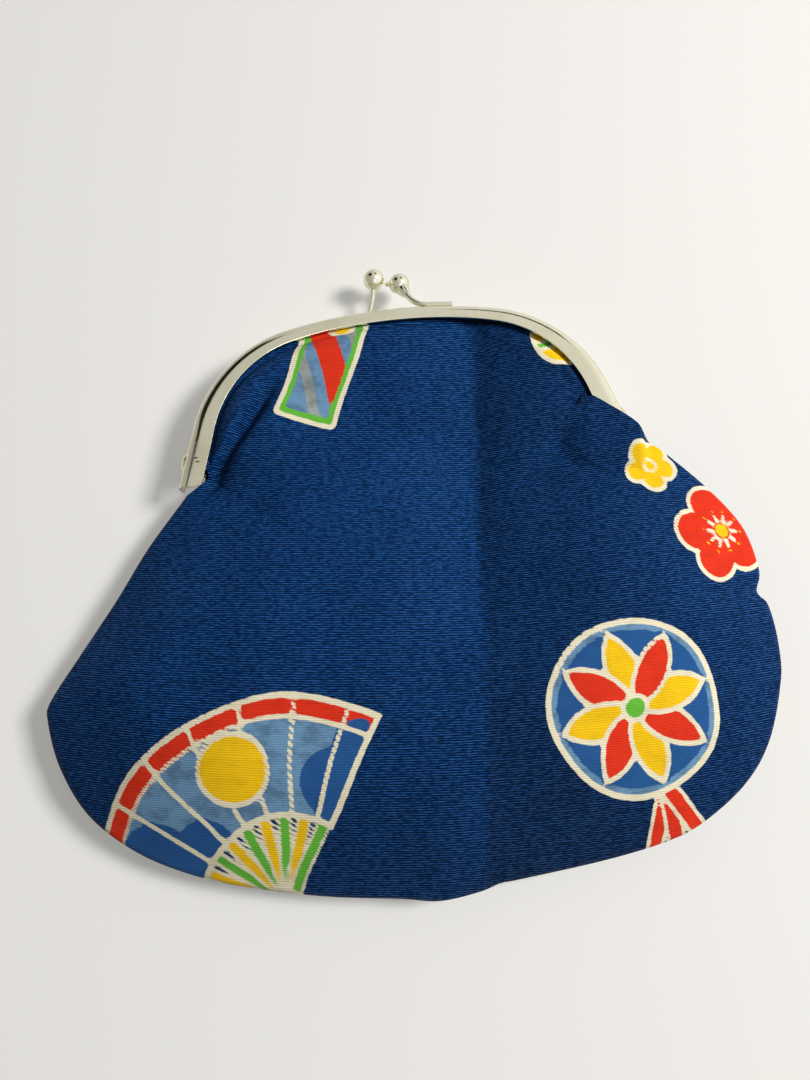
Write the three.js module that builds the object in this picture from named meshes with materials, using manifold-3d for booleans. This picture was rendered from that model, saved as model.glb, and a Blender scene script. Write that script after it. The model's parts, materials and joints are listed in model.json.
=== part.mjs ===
// A kiss lock coin purse lying on its back, in millimetres, +Z up.
// X runs across the purse, +Y points at the clasp, and the two frame halves hinge about a line along X.
// The hinge line is Y = 0 and Z = 0 while it is built, and the purse lies HINGE_HEIGHT below that.
import * as THREE from 'three';
import { mergeVertices } from 'three/addons/utils/BufferGeometryUtils.js';
import Module from 'manifold-3d';

const wasm = await Module();
wasm.setup();

// The clear space left between neighbouring pieces.
const FIT_GAP = 0.3;

// The pressed metal frame.
const FRAME_WIDTH = 100;
const FRAME_RISE = 30.2;
const LEG_DROP = 6.5;
const LEG_SPLAY = THREE.MathUtils.degToRad(16.5);
const TOP_RADIUS = 114.5;
const CORNER_RADIUS = 30;
const SHEET = 0.6;
const HALF_DEPTH = 4.5;
const FACE_WIDTH_TOP = 3.2;
const FACE_WIDTH_LEG = 5;
const INNER_WALL_SHORTER = 0.5;
const EDGE_RADIUS = 1.5;
const HINGE_HEIGHT = 6.4;

// The front leg's bevelled end: how far it is cut back at its inner corner and part of the way across.
const LEG_BEVEL_INNER = 3.3;
const LEG_BEVEL_MIDDLE = 1.1;
const LEG_BEVEL_MIDDLE_AT = 4.4;

// The hinge: an ear on each half, side by side, and a domed rivet through both.
const EAR_RADIUS = 2.4;
const RIVET_SHANK_RADIUS = 0.8;
const RIVET_HEAD_RADIUS = 2.6;
const RIVET_HEAD_RISE = 1.3;
const RIVET_TAIL_RADIUS = 1.5;
const RIVET_TAIL_THICKNESS = 0.6;
const HINGE_RELIEF = 4;

// The kiss lock: each ball sits on a wire stem, whose foot lies along the top of its frame half.
// A ball's rise is how far its middle stands over the frame's top, and its lift how far over the hinge line.
const BALL_RADIUS = 2.4;
const REAR_BALL = { x: -2.9, y: FRAME_RISE + 9.4, lift: 0.4 };
const FRONT_BALL = { x: 2.9, y: FRAME_RISE + 8.1, lift: -0.4 };
const WIRE_RADIUS = 0.65;
const STEM_RADIUS = 0.5;
const STEM_FLARE_RADIUS = 1.3;
const KNEE_SHARE = 0.2;
const WIRE_LIFT = 2.2;
const FRONT_FOOT_END = 14.1;
const FRONT_FOOT_START = 6.8;
const REAR_FOOT_END = -13.5;
const REAR_FOOT_START = -5.6;

// The bag's cloth.
const CLOTH = 0.8;
const LINING = 0.3;
const LINING_DEPTH = CLOTH + 1.5 * FIT_GAP;
const BAG_WIDTH = 153;
const BAG_DROP = 95.9;
const BELLY_SHARE = 0.42;
const BELLY_START = 6;
const BAG_CENTRE_X = -3.4;
const BAG_FRONT_CREST = 13;
const MOUTH_CREST = 5.8;
const MOUTH_RIM = 0.9;
const FRONT_FLATNESS = 1.25;
const BACK_FLATNESS = 1.7;
const CLOTH_HEM = { seam: 1, mouth: 1 };
const LINING_HEM = { seam: 0.35, mouth: 0.9 };
const CLOTH_TUCK = 1.4;
const SEAM_BELOW_LEG = 3;
const SEAM_BESIDE_LEG = 0.6;

// The band beside the hinges where the front cloth folds, and how far over it the cloth enters the channel.
const FOLD_BAND_TOP = EAR_RADIUS + 2 * FIT_GAP;
const FOLD_BAND_BOTTOM = -LEG_DROP - 0.8;
const CHANNEL_ENTRY = 6;

// The paper cord that jams the cloth into each half's channel.
const CORD_RADIUS = 0.4;

// The steps of the grids, and a length that is past everything.
const CLOTH_SECTORS = 52;
const CLOTH_RINGS = 6;
const RING_CROWDING = 1.5;
const SEAM_STEPS = 90;
const FRAME_STEPS = 44;
const SHOULDER_STEPS = 4;
const ROUND_SIDES = 20;
const WIRE_SIDES = 10;
const DOME_STEPS = 5;
const CORD_STEPS = 60;
const PAST = 2;
const FAR = 200;

// The frame's outer outline, from the left leg's end over the top to the right leg's end.
const cornerTurn = Math.PI / 2 - LEG_SPLAY;
const topHalfTurn = Math.asin(
  ((FRAME_WIDTH / 2) * Math.cos(LEG_SPLAY) - LEG_DROP * Math.sin(LEG_SPLAY) - CORNER_RADIUS
    + (TOP_RADIUS - FRAME_RISE) * Math.sin(LEG_SPLAY)) / (TOP_RADIUS - CORNER_RADIUS),
) - LEG_SPLAY;
const cornerCentre = new THREE.Vector2(
  (TOP_RADIUS - CORNER_RADIUS) * Math.sin(topHalfTurn),
  FRAME_RISE - TOP_RADIUS + (TOP_RADIUS - CORNER_RADIUS) * Math.cos(topHalfTurn),
);
const legLength = (cornerCentre.y + CORNER_RADIUS * Math.sin(LEG_SPLAY) + LEG_DROP) / Math.cos(LEG_SPLAY);
const topLength = TOP_RADIUS * topHalfTurn;
const cornerLength = CORNER_RADIUS * (cornerTurn - topHalfTurn);
const halfLength = topLength + cornerLength + legLength;

// A point of the outline, and its direction inward, at a distance s from the top middle, to the right if s > 0.
function framePoint(s) {
  const side = Math.sign(s) || 1;
  const along = Math.abs(s);
  let turn = along / TOP_RADIUS;
  let x = TOP_RADIUS * Math.sin(turn);
  let y = FRAME_RISE - TOP_RADIUS + TOP_RADIUS * Math.cos(turn);
  if (along > topLength) {
    turn = Math.min(topHalfTurn + (along - topLength) / CORNER_RADIUS, cornerTurn);
    const down = Math.max(0, along - topLength - cornerLength);
    x = cornerCentre.x + CORNER_RADIUS * Math.sin(turn) + down * Math.sin(LEG_SPLAY);
    y = cornerCentre.y + CORNER_RADIUS * Math.cos(turn) - down * Math.cos(LEG_SPLAY);
  }
  return {
    x: side * x,
    y,
    inX: -side * Math.sin(turn),
    inY: -Math.cos(turn),
  };
}

// The width of the face at a distance s from the top middle.
function faceWidth(s) {
  const share = THREE.MathUtils.smoothstep(Math.abs(s), topLength * 0.5, halfLength - legLength * 0.5);
  return FACE_WIDTH_TOP + (FACE_WIDTH_LEG - FACE_WIDTH_TOP) * share;
}

// The x of the frame's outer side at a height y on a straight leg.
const legOuterX = (y) => FRAME_WIDTH / 2 - (y + LEG_DROP) * Math.tan(LEG_SPLAY);

// A closed mesh from rings of points that all have the same count, with a flat cap on each end.
function skinRings(rings) {
  const count = rings[0].length;
  const positions = rings.flat(2);
  const index = [];
  for (let i = 0; i < rings.length - 1; i++) {
    const a = i * count;
    const b = a + count;
    for (let j = 0; j < count; j++) {
      const k = (j + 1) % count;
      index.push(a + j, a + k, b + j, a + k, b + k, b + j);
    }
  }
  for (const [ring, withRing] of [[0, false], [rings.length - 1, true]]) {
    const flat = rings[ring].map((p) => new THREE.Vector2(rings[ring].u(p), rings[ring].v(p)));
    const ringTurn = Math.sign(THREE.ShapeUtils.area(flat));
    for (const face of THREE.ShapeUtils.triangulateShape(flat, [])) {
      const faceTurn = Math.sign(THREE.ShapeUtils.area(face.map((n) => flat[n])));
      const [p, q, r] = face.map((n) => ring * count + n);
      index.push(...((faceTurn === ringTurn) === withRing ? [p, q, r] : [p, r, q]));
    }
  }
  const geometry = new THREE.BufferGeometry();
  geometry.setAttribute('position', new THREE.Float32BufferAttribute(positions, 3));
  geometry.setIndex(index);
  return geometry;
}

// A solid for joining and cutting, from any closed mesh, whichever way its faces run.
function solid(geometry) {
  const bare = geometry.clone();
  bare.deleteAttribute('normal');
  bare.deleteAttribute('uv');
  const merged = mergeVertices(bare, 1e-4);
  const corners = merged.attributes.position.array;
  let faces = Uint32Array.from(merged.index.array);
  if (signedVolume(corners, faces) < 0) faces = faces.map((_, i) => faces[i - (i % 3) + [0, 2, 1][i % 3]]);
  return new wasm.Manifold(new wasm.Mesh({ numProp: 3, vertProperties: corners, triVerts: faces }));
}

// The volume inside a mesh, which is negative where its faces point inward.
function signedVolume(corners, faces) {
  let volume = 0;
  const at = (i) => new THREE.Vector3().fromArray(corners, faces[i] * 3);
  for (let i = 0; i < faces.length; i += 3) volume += at(i).dot(at(i + 1).cross(at(i + 2))) / 6;
  return volume;
}

// The mesh of a joined or cut solid.
function meshOf(body) {
  const { vertProperties, triVerts } = body.getMesh();
  const geometry = new THREE.BufferGeometry();
  geometry.setAttribute('position', new THREE.BufferAttribute(vertProperties, 3));
  geometry.setIndex(new THREE.BufferAttribute(triVerts, 1));
  geometry.computeVertexNormals();
  return geometry;
}

// A box between two corners.
function box(low, high) {
  const size = high.map((h, i) => h - low[i]);
  const geometry = new THREE.BoxGeometry(...size);
  return solid(geometry.translate(...low.map((l, i) => l + size[i] / 2)));
}

// A cylinder along X.
function pinAlongX(x0, x1, radius) {
  const geometry = new THREE.CylinderGeometry(radius, radius, x1 - x0, ROUND_SIDES);
  return solid(geometry.rotateZ(Math.PI / 2).translate((x0 + x1) / 2, 0, 0));
}

// A flat plate in an outline of [x, y] points, between two heights.
function plate(points, low, high) {
  const shape = new THREE.Shape(points.map(([x, y]) => new THREE.Vector2(x, y)));
  const geometry = new THREE.ExtrudeGeometry(shape, { depth: high - low, bevelEnabled: false });
  return solid(geometry.translate(0, 0, low));
}

// The channel section of the front half: n is the distance inward from the outline, z the height over the hinge.
function channelSection(width) {
  const near = FIT_GAP / 2;
  const shoulder = HALF_DEPTH - EDGE_RADIUS;
  const inner = EDGE_RADIUS - SHEET;
  const wall = width - INNER_WALL_SHORTER;
  const arc = (radius, steps, back) => Array.from({ length: steps + 1 }, (_, i) => {
    const turn = ((back ? steps - i : i) / steps) * (Math.PI / 2);
    return [EDGE_RADIUS - radius * Math.cos(turn), shoulder + radius * Math.sin(turn)];
  });
  return [
    [0, near],
    ...arc(EDGE_RADIUS, SHOULDER_STEPS, false),
    [width, HALF_DEPTH],
    [width, HALF_DEPTH - SHEET],
    ...arc(inner, SHOULDER_STEPS / 2, true),
    [SHEET, near + SHEET],
    [wall, near + SHEET],
    [wall, near],
  ];
}

// One half's channel swept round the outline: facing is 1 for the front half and -1 for the rear one.
function channelSweep(facing) {
  const rings = [];
  for (let i = 0; i <= FRAME_STEPS; i++) {
    const s = -halfLength + (2 * halfLength * i) / FRAME_STEPS;
    const p = framePoint(s);
    const section = channelSection(faceWidth(s));
    const ring = section.map(([n, z]) => [p.x + p.inX * n, p.y + p.inY * n, facing * z]);
    ring.u = (q) => Math.hypot(q[0] - p.x, q[1] - p.y);
    ring.v = (q) => q[2];
    rings.push(ring);
  }
  return solid(skinRings(rings));
}

// The hinge's measures along X, for the right side. The rear ear is innermost.
const frontEarOuter = legOuterX(EAR_RADIUS) - SHEET - FIT_GAP / 2;
const frontEarInner = frontEarOuter - SHEET;
const rearEarOuter = frontEarInner - FIT_GAP;
const rearEarInner = rearEarOuter - SHEET;
const boreRadius = RIVET_SHANK_RADIUS + FIT_GAP;

// An ear: a round lobe about the hinge line on a neck that reaches its half's face.
function ear(inner, outer, facing) {
  const lobe = pinAlongX(inner, outer, EAR_RADIUS);
  const reach = HALF_DEPTH - SHEET / 2;
  const low = facing > 0 ? 0 : -reach;
  return lobe.add(box([inner, -EAR_RADIUS, low], [outer, EAR_RADIUS, low + reach]));
}

// A solid and its copy on the other side of the purse.
const bothSides = (body) => body.add(body.mirror([1, 0, 0]));

// The front half: its face runs on past the hinge to a bevelled leg end.
function frontFrameHalf() {
  const wallInside = frontEarInner - FIT_GAP;
  const reliefOuter = legOuterX(HINGE_RELIEF) - SHEET - FIT_GAP / 2;
  const relief = box([0, -FAR, -PAST], [reliefOuter, HINGE_RELIEF, SHEET + FIT_GAP]);
  const end = legOuterX(-LEG_DROP);
  const inner = end - FACE_WIDTH_LEG;
  const bevel = plate([
    [inner - PAST, -LEG_DROP - PAST],
    [inner - PAST, -LEG_DROP + LEG_BEVEL_INNER + PAST],
    [inner - PAST / 2, -LEG_DROP + LEG_BEVEL_INNER + PAST / 2],
    [end - LEG_BEVEL_MIDDLE_AT, -LEG_DROP + LEG_BEVEL_MIDDLE],
    [end, -LEG_DROP],
    [end + PAST, -LEG_DROP - PAST],
  ], -PAST, HALF_DEPTH + PAST);
  const bore = pinAlongX(wallInside, FRAME_WIDTH / 2 + PAST, boreRadius);
  return channelSweep(1)
    .subtract(bothSides(relief))
    .subtract(bothSides(bevel))
    .add(bothSides(ear(frontEarInner, frontEarOuter, 1)))
    .subtract(bothSides(bore));
}

// The rear half: beyond the hinge only its ears go on, so that the front legs can swing down past it.
function rearFrameHalf() {
  const split = rearEarOuter + FIT_GAP / 2;
  const under = -HALF_DEPTH - PAST;
  const reliefOuter = legOuterX(HINGE_RELIEF) - SHEET - FIT_GAP / 2;
  const innerCut = box([0, -FAR, under], [split, -EAR_RADIUS, PAST]);
  const outerCut = box([split, -FAR, under], [FRAME_WIDTH, EAR_RADIUS + 2 * FIT_GAP, PAST]);
  const relief = box([0, -FAR, -SHEET - FIT_GAP], [reliefOuter, HINGE_RELIEF, PAST]);
  const bore = pinAlongX(rearEarInner - SHEET, rearEarOuter + FIT_GAP / 2, boreRadius);
  return channelSweep(-1)
    .subtract(bothSides(innerCut))
    .subtract(bothSides(outerCut))
    .subtract(bothSides(relief))
    .add(bothSides(ear(rearEarInner, rearEarOuter, -1)))
    .subtract(bothSides(bore));
}

// The right rivet: a dome outside the front leg, a shank through both ears and a peened tail.
function rivet() {
  const dome = [new THREE.Vector2(0, 0), new THREE.Vector2(RIVET_HEAD_RADIUS, 0)];
  for (let i = 1; i <= DOME_STEPS; i++) {
    const turn = (i / DOME_STEPS) * (Math.PI / 2);
    dome.push(new THREE.Vector2(RIVET_HEAD_RADIUS * Math.cos(turn), RIVET_HEAD_RISE * Math.sin(turn)));
  }
  dome[dome.length - 1].x = 0;
  const head = new THREE.LatheGeometry(dome, ROUND_SIDES).rotateZ(-Math.PI / 2 + LEG_SPLAY);
  const seat = legOuterX(0) + FIT_GAP / Math.cos(LEG_SPLAY);
  const tailOuter = rearEarInner - FIT_GAP;
  return solid(head.translate(seat, 0, 0))
    .add(pinAlongX(tailOuter - RIVET_TAIL_THICKNESS, seat + SHEET, RIVET_SHANK_RADIUS))
    .add(pinAlongX(tailOuter - RIVET_TAIL_THICKNESS, tailOuter, RIVET_TAIL_RADIUS));
}

// A round wire through points, with its own radius at each.
function wire(points, radii) {
  const curve = new THREE.CatmullRomCurve3(points.map((p) => new THREE.Vector3(...p)));
  const steps = points.length * 3;
  const frames = curve.computeFrenetFrames(steps, false);
  const rings = [];
  for (let i = 0; i <= steps; i++) {
    const t = i / steps;
    const centre = curve.getPointAt(t);
    const spot = t * (radii.length - 1);
    const low = Math.min(Math.floor(spot), radii.length - 2);
    const radius = THREE.MathUtils.lerp(radii[low], radii[low + 1], spot - low);
    const ring = [];
    for (let j = 0; j < WIRE_SIDES; j++) {
      const turn = (j / WIRE_SIDES) * Math.PI * 2;
      const p = centre.clone()
        .addScaledVector(frames.normals[i], radius * Math.cos(turn))
        .addScaledVector(frames.binormals[i], radius * Math.sin(turn));
      ring.push(p.toArray());
    }
    const normal = frames.normals[i];
    const binormal = frames.binormals[i];
    ring.u = (q) => new THREE.Vector3(...q).dot(normal);
    ring.v = (q) => new THREE.Vector3(...q).dot(binormal);
    rings.push(ring);
  }
  return solid(skinRings(rings));
}

// A stem from its foot on a frame half's top up to just under its ball.
function stem(ball, footStart, footEnd, facing, radii) {
  const top = (x) => FRAME_RISE - TOP_RADIUS + Math.sqrt(TOP_RADIUS ** 2 - x ** 2) + WIRE_RADIUS + FIT_GAP;
  const lift = facing * WIRE_LIFT;
  const foot = [footEnd, top(footEnd), lift];
  const middle = [(footEnd + footStart) / 2, top((footEnd + footStart) / 2), lift];
  const heel = [footStart, top(footStart), lift];
  const hub = new THREE.Vector3(ball.x, ball.y, ball.lift);
  const knee = new THREE.Vector3(footStart, top(footStart) + WIRE_RADIUS * 2, lift).lerp(hub, KNEE_SHARE);
  const away = knee.clone().sub(hub).setLength(BALL_RADIUS + FIT_GAP);
  const neck = hub.clone().add(away);
  return wire([foot, middle, heel, knee.toArray(), neck.toArray()], radii);
}

// The outline of the bag's cloth below the hinge, from the left leg's end round to the right one's.
// Between its ends, each point is a share of the bag's width and of its drop.
const seamEnd = { x: FRAME_WIDTH / 2 + SEAM_BESIDE_LEG, y: -LEG_DROP - SEAM_BELOW_LEG };
const bagOutline = [
  [-seamEnd.x, seamEnd.y],
  ...[
    [-0.426, 0.297], [-0.513, 0.486], [-0.525, 0.538], [-0.509, 0.649], [-0.472, 0.750], [-0.408, 0.839],
    [-0.257, 0.934], [-0.027, 1.000], [0.053, 0.979], [0.187, 0.961], [0.324, 0.913], [0.393, 0.844],
    [0.438, 0.760], [0.469, 0.637], [0.476, 0.539], [0.462, 0.441], [0.472, 0.382], [0.464, 0.289],
    [0.433, 0.197], [0.393, 0.131],
  ].map(([across, down]) => [across * BAG_WIDTH, -down * BAG_DROP]),
  [seamEnd.x, seamEnd.y],
];
const bagCentre = { x: BAG_CENTRE_X, y: -BELLY_SHARE * BAG_DROP };
const mouthHalfWidth = legOuterX(0) - FACE_WIDTH_LEG - FIT_GAP;

// The cloth's whole edge: the bag's outline, then up the right leg, round inside the frame and down the left leg.
function clothEdge() {
  const seam = new THREE.CatmullRomCurve3(
    bagOutline.map(([x, y]) => new THREE.Vector3(x, y, 0)), false, 'centripetal',
  );
  const points = seam.getSpacedPoints(SEAM_STEPS).map((p) => ({ x: p.x, y: p.y, mouth: 0 }));
  const legX = mouthHalfWidth;
  const mouth = [{ x: legX, y: FOLD_BAND_BOTTOM, mouth: 0.4 }, { x: legX, y: FOLD_BAND_TOP, mouth: 1 }];
  for (let i = 0; i <= FRAME_STEPS; i++) {
    const p = framePoint(halfLength * (1 - (2 * i) / FRAME_STEPS));
    const q = { x: p.x + p.inX * CLOTH_TUCK, y: p.y + p.inY * CLOTH_TUCK, mouth: 1 };
    if (q.y > FOLD_BAND_TOP + CHANNEL_ENTRY) mouth.push(q);
  }
  mouth.push({ x: -legX, y: FOLD_BAND_TOP, mouth: 1 }, { x: -legX, y: FOLD_BAND_BOTTOM, mouth: 0.4 });
  return points.concat(mouth);
}

// The edge's crossing with a ray from the bag's centre at each of evenly spread angles.
function edgeByAngle() {
  const edge = clothEdge().map((p) => {
    const dx = p.x - bagCentre.x;
    const dy = p.y - bagCentre.y;
    return { angle: Math.atan2(dy, dx), radius: Math.hypot(dx, dy), mouth: p.mouth };
  }).sort((a, b) => a.angle - b.angle);
  const spokes = [];
  for (let i = 0; i < CLOTH_SECTORS; i++) {
    const angle = -Math.PI + ((i + 0.5) / CLOTH_SECTORS) * Math.PI * 2;
    const after = edge.findIndex((p) => p.angle > angle);
    const b = edge[after < 0 ? 0 : after];
    const a = edge[(after < 0 ? edge.length : after || edge.length) - 1];
    const span = (b.angle - a.angle + Math.PI * 2) % (Math.PI * 2) || 1;
    const share = ((angle - a.angle + Math.PI * 2) % (Math.PI * 2)) / span;
    spokes.push({
      angle,
      radius: THREE.MathUtils.lerp(a.radius, b.radius, share),
      mouth: THREE.MathUtils.lerp(a.mouth, b.mouth, share),
    });
  }
  return spokes;
}

const spokes = edgeByAngle();

// How high the front's crest stands over the hinge line at a height y: low in the mouth and full in the belly.
function frontCrest(y) {
  const share = THREE.MathUtils.smoothstep(-y, BELLY_START, BELLY_SHARE * BAG_DROP);
  return MOUTH_CREST + (BAG_FRONT_CREST - MOUTH_CREST) * share;
}

// How high the cloth lies where it is held in the channel, under the face.
const channelTop = HALF_DEPTH - SHEET - FIT_GAP;

// One cloth: a domed sheet. Depth is how far it lies inside the purse's outer surface, and hem says how far out
// in the last ring it ends, at the seam and in the mouth.
function clothSheet(facing, depth, thickness, hem) {
  const seamTop = FIT_GAP / 2 + CLOTH;
  const height = (y, share, mouth) => {
    const start = mouth > 0.5 ? MOUTH_RIM : 1;
    const edge = mouth > 0.5 ? channelTop : seamTop;
    const [full, flatness] = facing > 0 ? [frontCrest(y), FRONT_FLATNESS] : [HINGE_HEIGHT, BACK_FLATNESS];
    return edge + (full - edge) * Math.min(1, flatness * (1 - Math.min(1, share / start) ** 3));
  };
  const ring = (share) => spokes.map(({ angle, radius, mouth }) => {
    const x = bagCentre.x + radius * share * Math.cos(angle);
    const y = bagCentre.y + radius * share * Math.sin(angle);
    return [x, y, height(y, share, mouth)];
  });
  const rows = [[[bagCentre.x, bagCentre.y, height(bagCentre.y, 0, 0)]]];
  for (let j = 1; j <= CLOTH_RINGS; j++) rows.push(ring(1 - (1 - j / CLOTH_RINGS) ** RING_CROWDING));
  rows[CLOTH_RINGS] = rows[CLOTH_RINGS].map((p, k) => {
    const out = THREE.MathUtils.lerp(hem.seam, hem.mouth, spokes[k].mouth);
    return p.map((value, axis) => THREE.MathUtils.lerp(rows[CLOTH_RINGS - 1][k][axis], value, out));
  });
  const layers = [depth, depth + thickness].map((down) => (
    rows.map((row) => row.map(([x, y, z]) => [x, y, facing * (z - down)]))
  ));
  const positions = layers.flat(3);
  const perLayer = 1 + CLOTH_RINGS * CLOTH_SECTORS;
  const inLayer = (ring, k) => (ring ? 1 + (ring - 1) * CLOTH_SECTORS + (k % CLOTH_SECTORS) : 0);
  const at = (layer, ring, k) => layer * perLayer + inLayer(ring, k);
  const index = [];
  for (let k = 0; k < CLOTH_SECTORS; k++) {
    index.push(at(0, 0, 0), at(0, 1, k), at(0, 1, k + 1));
    index.push(at(1, 0, 0), at(1, 1, k + 1), at(1, 1, k));
    for (let j = 1; j < CLOTH_RINGS; j++) {
      const [a, b, c, d] = [at(0, j, k), at(0, j, k + 1), at(0, j + 1, k), at(0, j + 1, k + 1)];
      index.push(a, c, b, b, c, d);
      const [e, f, g, h] = [at(1, j, k), at(1, j, k + 1), at(1, j + 1, k), at(1, j + 1, k + 1)];
      index.push(e, f, g, f, h, g);
    }
    const [p, q] = [at(0, CLOTH_RINGS, k), at(0, CLOTH_RINGS, k + 1)];
    const [r, t] = [at(1, CLOTH_RINGS, k), at(1, CLOTH_RINGS, k + 1)];
    index.push(p, r, q, q, r, t);
  }
  const geometry = new THREE.BufferGeometry();
  geometry.setAttribute('position', new THREE.Float32BufferAttribute(positions, 3));
  geometry.setIndex(index);
  return solid(geometry);
}

const aboveFold = box([-FAR, FOLD_BAND_TOP, -FAR], [FAR, FAR, FAR]);
const belowFold = box([-FAR, -FAR, -FAR], [FAR, FOLD_BAND_BOTTOM, FAR]);

// The room beside the hinges that the front legs swing down through.
const legRoom = bothSides(box(
  [mouthHalfWidth - FIT_GAP, -LEG_DROP - 4 * FIT_GAP, -FAR],
  [FAR, EAR_RADIUS * 3, FAR],
));

// The paper cord in a half's channel, just under the lining, from one leg over the top to the other.
function paperCord(facing) {
  const start = halfLength - (LEG_DROP + EAR_RADIUS + 3 * FIT_GAP) / Math.cos(LEG_SPLAY);
  const lift = channelTop - LINING_DEPTH - LINING - FIT_GAP - CORD_RADIUS;
  const inward = SHEET + FIT_GAP + CORD_RADIUS;
  const points = [];
  for (let i = 0; i <= FRAME_STEPS; i++) {
    const p = framePoint(start * ((2 * i) / FRAME_STEPS - 1));
    points.push(new THREE.Vector3(p.x + p.inX * inward, p.y + p.inY * inward, facing * lift));
  }
  const curve = new THREE.CatmullRomCurve3(points);
  const shape = new THREE.Shape();
  shape.absarc(0, 0, CORD_RADIUS, 0, Math.PI * 2);
  return new THREE.ExtrudeGeometry(shape, { steps: CORD_STEPS, curveSegments: 3, extrudePath: curve });
}

const nickel = { color: 0xc9c3b4, roughness: 0.22, metalness: 1 };
const ribbedCloth = { color: 0x14386f, roughness: 0.85, metalness: 0 };
const liningCloth = { color: 0x1b2a4a, roughness: 0.9, metalness: 0 };
const paper = { color: 0xb99e74, roughness: 0.95, metalness: 0 };

const purse = new THREE.Group();

function addPiece(name, geometry, look) {
  const mesh = new THREE.Mesh(geometry, new THREE.MeshStandardMaterial(look));
  mesh.name = name;
  purse.add(mesh);
}

function ball(at) {
  return new THREE.SphereGeometry(BALL_RADIUS, ROUND_SIDES, ROUND_SIDES / 2).translate(at.x, at.y, at.lift);
}

addPiece('rear_frame_half', meshOf(rearFrameHalf()), nickel);
addPiece('front_frame_half', meshOf(frontFrameHalf()), nickel);
addPiece('right_hinge_rivet', meshOf(rivet()), nickel);
addPiece('left_hinge_rivet', meshOf(rivet().mirror([1, 0, 0])), nickel);
addPiece('rear_clasp_ball', ball(REAR_BALL), nickel);
addPiece('front_clasp_ball', ball(FRONT_BALL), nickel);
const rearRadii = [WIRE_RADIUS, WIRE_RADIUS, WIRE_RADIUS, STEM_RADIUS, STEM_RADIUS];
const frontRadii = [WIRE_RADIUS, WIRE_RADIUS, WIRE_RADIUS, WIRE_RADIUS, STEM_FLARE_RADIUS];
const rearStem = stem(REAR_BALL, REAR_FOOT_START, REAR_FOOT_END, -1, rearRadii);
const frontStem = stem(FRONT_BALL, FRONT_FOOT_START, FRONT_FOOT_END, 1, frontRadii);
addPiece('rear_clasp_stem', meshOf(rearStem), nickel);
addPiece('front_clasp_stem', meshOf(frontStem), nickel);
const frontCloth = clothSheet(1, 0, CLOTH, CLOTH_HEM);
const frontLining = clothSheet(1, LINING_DEPTH, LINING, LINING_HEM);
addPiece('front_panel', meshOf(frontCloth.intersect(belowFold)), ribbedCloth);
addPiece('front_panel_mouth', meshOf(frontCloth.intersect(aboveFold)), ribbedCloth);
addPiece('back_panel', meshOf(clothSheet(-1, 0, CLOTH, CLOTH_HEM).subtract(legRoom)), ribbedCloth);
addPiece('front_lining', meshOf(frontLining.intersect(belowFold)), liningCloth);
addPiece('front_lining_mouth', meshOf(frontLining.intersect(aboveFold)), liningCloth);
addPiece('back_lining', meshOf(clothSheet(-1, LINING_DEPTH, LINING, LINING_HEM)), liningCloth);
addPiece('front_paper_cord', paperCord(1), paper);
addPiece('rear_paper_cord', paperCord(-1), paper);

// The origin goes under the middle of the purse, on the surface that it lies on.
const extent = new THREE.Box3().setFromObject(purse);
const middle = extent.getCenter(new THREE.Vector3());
purse.position.set(-middle.x, -middle.y, -extent.min.z);

export default purse;
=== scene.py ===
"""A kiss lock coin purse lying on its back: ribbed blue cloth on a polished nickel frame.

Shapes are in millimetres from the middle of the hinge line, with x across the purse, y towards the clasp and
z up. The hinge line lies HINGE_HEIGHT over the floor.
"""

import json
import math

import bpy
import numpy as np
from mathutils import Matrix, Vector


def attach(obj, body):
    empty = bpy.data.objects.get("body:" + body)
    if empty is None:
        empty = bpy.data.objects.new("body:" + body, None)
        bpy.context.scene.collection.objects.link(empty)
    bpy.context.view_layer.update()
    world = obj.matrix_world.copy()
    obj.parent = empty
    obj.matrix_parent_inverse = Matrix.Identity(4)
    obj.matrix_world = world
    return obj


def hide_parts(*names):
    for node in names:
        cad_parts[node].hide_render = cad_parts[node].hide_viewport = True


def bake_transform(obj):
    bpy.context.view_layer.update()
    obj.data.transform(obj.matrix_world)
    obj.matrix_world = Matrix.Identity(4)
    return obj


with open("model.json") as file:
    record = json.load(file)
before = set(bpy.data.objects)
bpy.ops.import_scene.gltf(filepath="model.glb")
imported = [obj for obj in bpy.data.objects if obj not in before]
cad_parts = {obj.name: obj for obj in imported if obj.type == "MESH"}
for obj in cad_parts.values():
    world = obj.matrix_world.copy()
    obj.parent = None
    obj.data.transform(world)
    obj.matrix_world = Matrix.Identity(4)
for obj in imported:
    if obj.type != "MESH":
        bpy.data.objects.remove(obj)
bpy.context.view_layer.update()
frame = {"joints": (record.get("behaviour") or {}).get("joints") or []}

MM = 0.001
HINGE = np.array(next(j["pos_m"] for j in frame["joints"] if j["name"] == "frame_hinge"))

# The frame's outline and section.
FIT_GAP = 0.3
FRAME_WIDTH = 100
FRAME_RISE = 30.2
LEG_DROP = 6.5
LEG_SPLAY = math.radians(16.5)
TOP_RADIUS = 114.5
CORNER_RADIUS = 30
SHEET = 0.6
HALF_DEPTH = 4.5
FACE_WIDTH_TOP = 3.2
FACE_WIDTH_LEG = 5
INNER_WALL_SHORTER = 0.5
SHOULDER_DROP = 1.4
LIP_ON_LEG = 0.03
LIP_ON_TOP = 0.28

# The hinge.
HINGE_HEIGHT = 6.4
HINGE_RELIEF = 4
EAR_RADIUS = 2.4
RIVET_SHANK_RADIUS = 0.8
RIVET_HEAD_RADIUS = 2.6
RIVET_HEAD_RISE = 1.3
RIVET_TAIL_RADIUS = 1.5
RIVET_TAIL_THICKNESS = 0.6

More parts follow.
